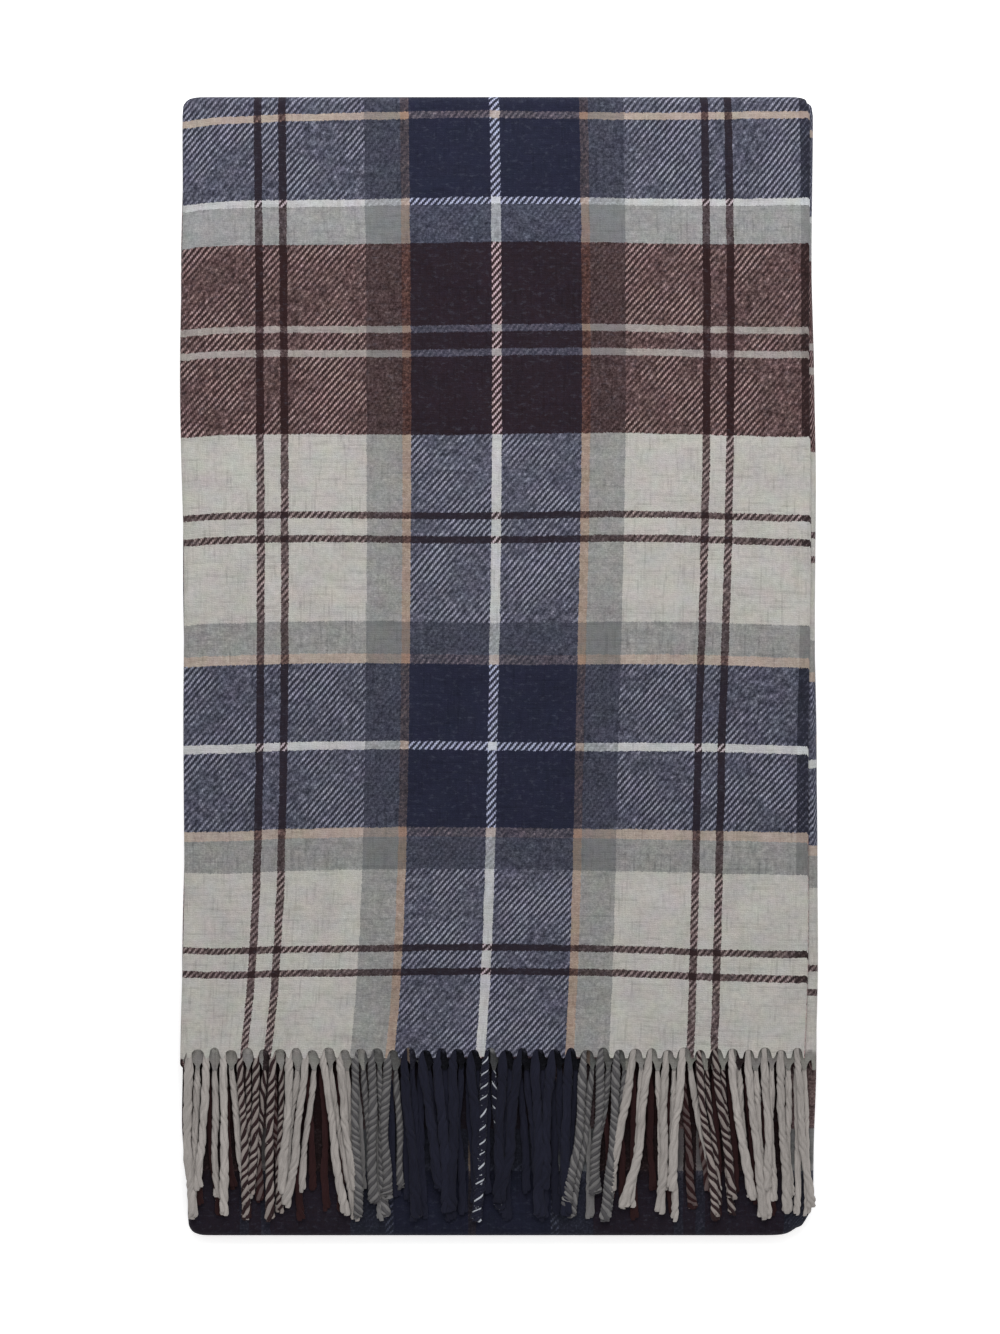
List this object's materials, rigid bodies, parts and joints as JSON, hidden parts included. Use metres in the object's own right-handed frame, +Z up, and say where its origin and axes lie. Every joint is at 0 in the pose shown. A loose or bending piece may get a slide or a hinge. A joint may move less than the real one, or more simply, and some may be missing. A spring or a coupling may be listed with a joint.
{
  "type": "folded throw blanket",
  "caption": "Wool plaid throw folded lengthwise in thirds and across in thirds, lying flat, with a twisted fringe on its face.",
  "frame": {"origin": "centre of the underside of the folded throw", "axes": "+Z up from what it lies on; +Y along the folded length, away from the fringe that shows; +X across it, towards the face selvedge"},
  "size_m": [0.436, 0.786, 0.0245],
  "materials": {
    "plaid_twill": "brushed wool twill in a large plaid: warm grey ground, navy, maroon, silver grey and thin rust and white lines",
    "selvedge": "weft-faced wool edge, a little denser than the twill",
    "woven_end": "packed last picks of the twill",
    "light_yarn": "twisted wool yarn, warm light grey",
    "marled_yarn": "twisted wool yarn, light grey with a dark maroon strand",
    "grey_yarn": "twisted wool yarn, mid grey",
    "navy_yarn": "twisted wool yarn, dark navy",
    "white_marl_yarn": "twisted wool yarn, navy with a white strand",
    "maroon_yarn": "twisted wool yarn, dark maroon",
    "maroon_marl_yarn": "twisted wool yarn, maroon with a light strand"
  },
  "bodies": {
    "base_panel": {"base_centre_third": "plaid_twill", "base_right_third": "plaid_twill", "base_left_third": "plaid_twill", "base_left_fold": "plaid_twill", "base_right_fold": "plaid_twill", "base_left_selvedge": "selvedge", "base_right_selvedge": "selvedge", "near_fold_centre_third": "plaid_twill", "near_fold_right_third": "plaid_twill", "near_fold_left_third": "plaid_twill", "base_centre_end": "woven_end", "base_right_end": "woven_end", "base_left_end": "woven_end", "base_centre_tassels": "maroon_yarn", "base_right_tassels": "light_yarn", "base_left_tassels": "light_yarn"},
    "middle_panel": {"middle_centre_third": "plaid_twill", "middle_right_third": "plaid_twill", "middle_left_third": "plaid_twill", "middle_left_fold": "plaid_twill", "middle_right_fold": "plaid_twill", "middle_left_selvedge": "selvedge", "middle_right_selvedge": "selvedge", "far_fold_centre_third": "plaid_twill", "far_fold_right_third": "plaid_twill", "far_fold_left_third": "plaid_twill"},
    "top_panel": {"top_centre_third": "plaid_twill", "top_right_third": "plaid_twill", "top_left_third": "plaid_twill", "top_left_fold": "plaid_twill", "top_right_fold": "plaid_twill", "top_left_selvedge": "selvedge", "top_right_selvedge": "selvedge", "top_centre_end": "woven_end", "top_right_end": "woven_end", "top_left_end": "woven_end", "tucked_tassels_light": "light_yarn", "tucked_tassels_marled": "marled_yarn", "tucked_tassels_grey": "grey_yarn", "tucked_tassels_navy": "navy_yarn", "tucked_tassel_white": "white_marl_yarn", "under_tassels_maroon": "maroon_yarn", "under_tassels_pink": "maroon_marl_yarn", "under_tassels_silver": "grey_yarn", "under_tassels_navy": "navy_yarn", "under_tassel_light": "light_yarn"},
    "face_fringe": {"face_tassels_light_a": "light_yarn", "face_tassels_marled_a": "marled_yarn", "face_tassels_light_b": "light_yarn", "face_tassels_grey_a": "grey_yarn", "face_tassels_navy_a": "navy_yarn", "face_tassel_white": "white_marl_yarn", "face_tassels_navy_b": "navy_yarn", "face_tassels_grey_b": "grey_yarn", "face_tassels_light_c": "light_yarn", "face_tassels_marled_b": "marled_yarn", "face_tassels_light_d": "light_yarn"}
  },
  "joints": [
    {"name": "near_fold", "type": "hinge", "parent": "base_panel", "child": "middle_panel", "pos_m": [0, -0.38555, 0.00745], "axis": [1, 0, 0], "range_deg": [0, 180], "deforming": ["near_fold_centre_third", "near_fold_right_third", "near_fold_left_third"]},
    {"name": "far_fold", "type": "hinge", "parent": "middle_panel", "child": "top_panel", "pos_m": [0, 0.38555, 0.01505], "axis": [-1, 0, 0], "range_deg": [0, 180], "deforming": ["far_fold_centre_third", "far_fold_right_third", "far_fold_left_third"]},
    {"name": "fringe_lift", "type": "hinge", "parent": "top_panel", "child": "face_fringe", "pos_m": [0, -0.264, 0.0248], "axis": [-1, 0, 0], "range_deg": [0, 180]}
  ]
}
